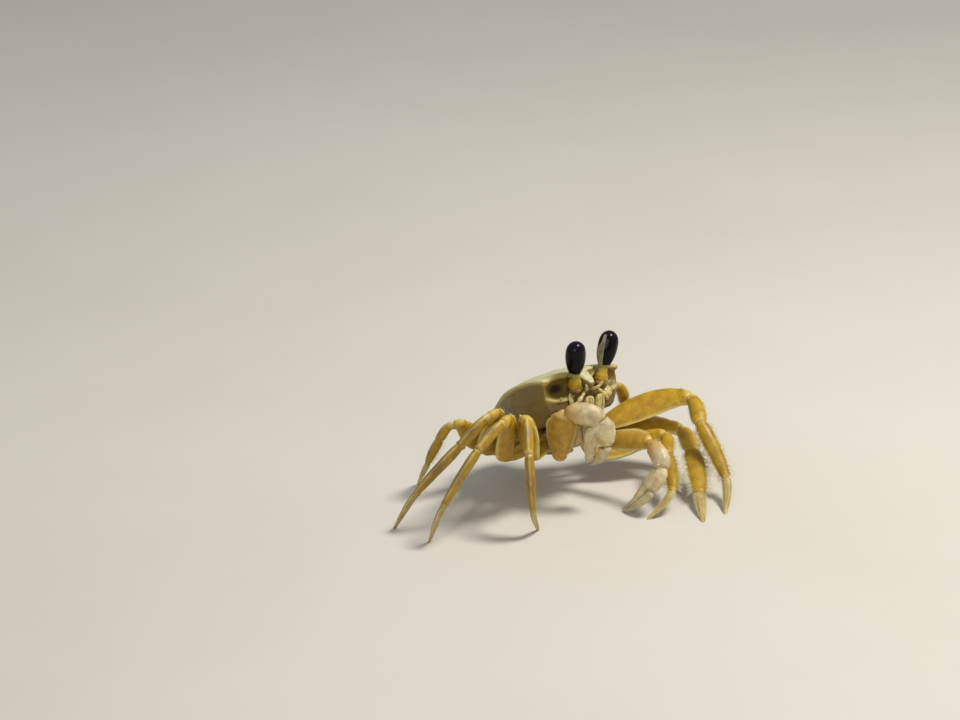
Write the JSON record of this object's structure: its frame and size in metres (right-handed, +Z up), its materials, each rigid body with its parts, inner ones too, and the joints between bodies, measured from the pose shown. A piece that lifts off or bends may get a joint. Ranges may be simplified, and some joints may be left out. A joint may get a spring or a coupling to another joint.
{
  "type": "ghost crab",
  "caption": "Life-size still model of a pale yellow ghost crab with tall black eyes, standing high on its walking legs with both claws folded, for display or study.",
  "frame": {"origin": "on the floor, under the middle of the whole crab's outline", "axes": "+Z up from the floor; the crab faces -Y; +X is the crab's own left side, and its legs spread widest along X"},
  "size_m": [0.083, 0.0686, 0.0433],
  "materials": {
    "shell": "finely grained, hard and slightly waxy",
    "underside": "smooth, dull",
    "eyestalk": "smooth, moist sheen",
    "cornea": "wet gloss over very fine facets",
    "mouth": "finely grained",
    "leg_upper": "thin waxy shell with a soft sheen",
    "leg_lower": "thin waxy shell with a soft sheen",
    "toe": "horny, grooved lengthwise",
    "claw_arm": "waxy with grained edges",
    "claw": "porcelain-like, slightly grained"
  },
  "bodies": {
    "root": {"carapace": "shell", "chest": "underside", "tail": "underside", "eyestalk_l": "eyestalk", "cornea_l": "cornea", "mouth_plate_l": "mouth", "feeler_l": "mouth", "eyestalk_r": "eyestalk", "cornea_r": "cornea", "mouth_plate_r": "mouth", "feeler_r": "mouth", "leg2_hip_l": "leg_upper", "leg2_merus_l": "leg_upper", "leg2_carpus_l": "leg_lower", "leg2_propodus_l": "leg_lower", "leg2_dactyl_l": "toe", "leg2_hip_r": "leg_upper", "leg2_merus_r": "leg_upper", "leg2_carpus_r": "leg_lower", "leg2_propodus_r": "leg_lower", "leg2_dactyl_r": "toe", "leg3_hip_l": "leg_upper", "leg3_merus_l": "leg_upper", "leg3_carpus_l": "leg_lower", "leg3_propodus_l": "leg_lower", "leg3_dactyl_l": "toe", "leg3_hip_r": "leg_upper", "leg3_merus_r": "leg_upper", "leg3_carpus_r": "leg_lower", "leg3_propodus_r": "leg_lower", "leg3_dactyl_r": "toe", "leg4_hip_l": "leg_upper", "leg4_merus_l": "leg_upper", "leg4_carpus_l": "leg_lower", "leg4_propodus_l": "leg_lower", "leg4_dactyl_l": "toe", "leg4_hip_r": "leg_upper", "leg4_merus_r": "leg_upper", "leg4_carpus_r": "leg_lower", "leg4_propodus_r": "leg_lower", "leg4_dactyl_r": "toe", "leg5_hip_l": "leg_upper", "leg5_merus_l": "leg_upper", "leg5_carpus_l": "leg_lower", "leg5_propodus_l": "leg_lower", "leg5_dactyl_l": "toe", "leg5_hip_r": "leg_upper", "leg5_merus_r": "leg_upper", "leg5_carpus_r": "leg_lower", "leg5_propodus_r": "leg_lower", "leg5_dactyl_r": "toe", "claw_arm_l": "claw_arm", "claw_wrist_l": "claw", "claw_palm_l": "claw", "claw_finger_l": "claw", "claw_arm_r": "claw_arm", "claw_wrist_r": "claw", "claw_palm_r": "claw", "claw_finger_r": "claw"}
  },
  "joints": []
}
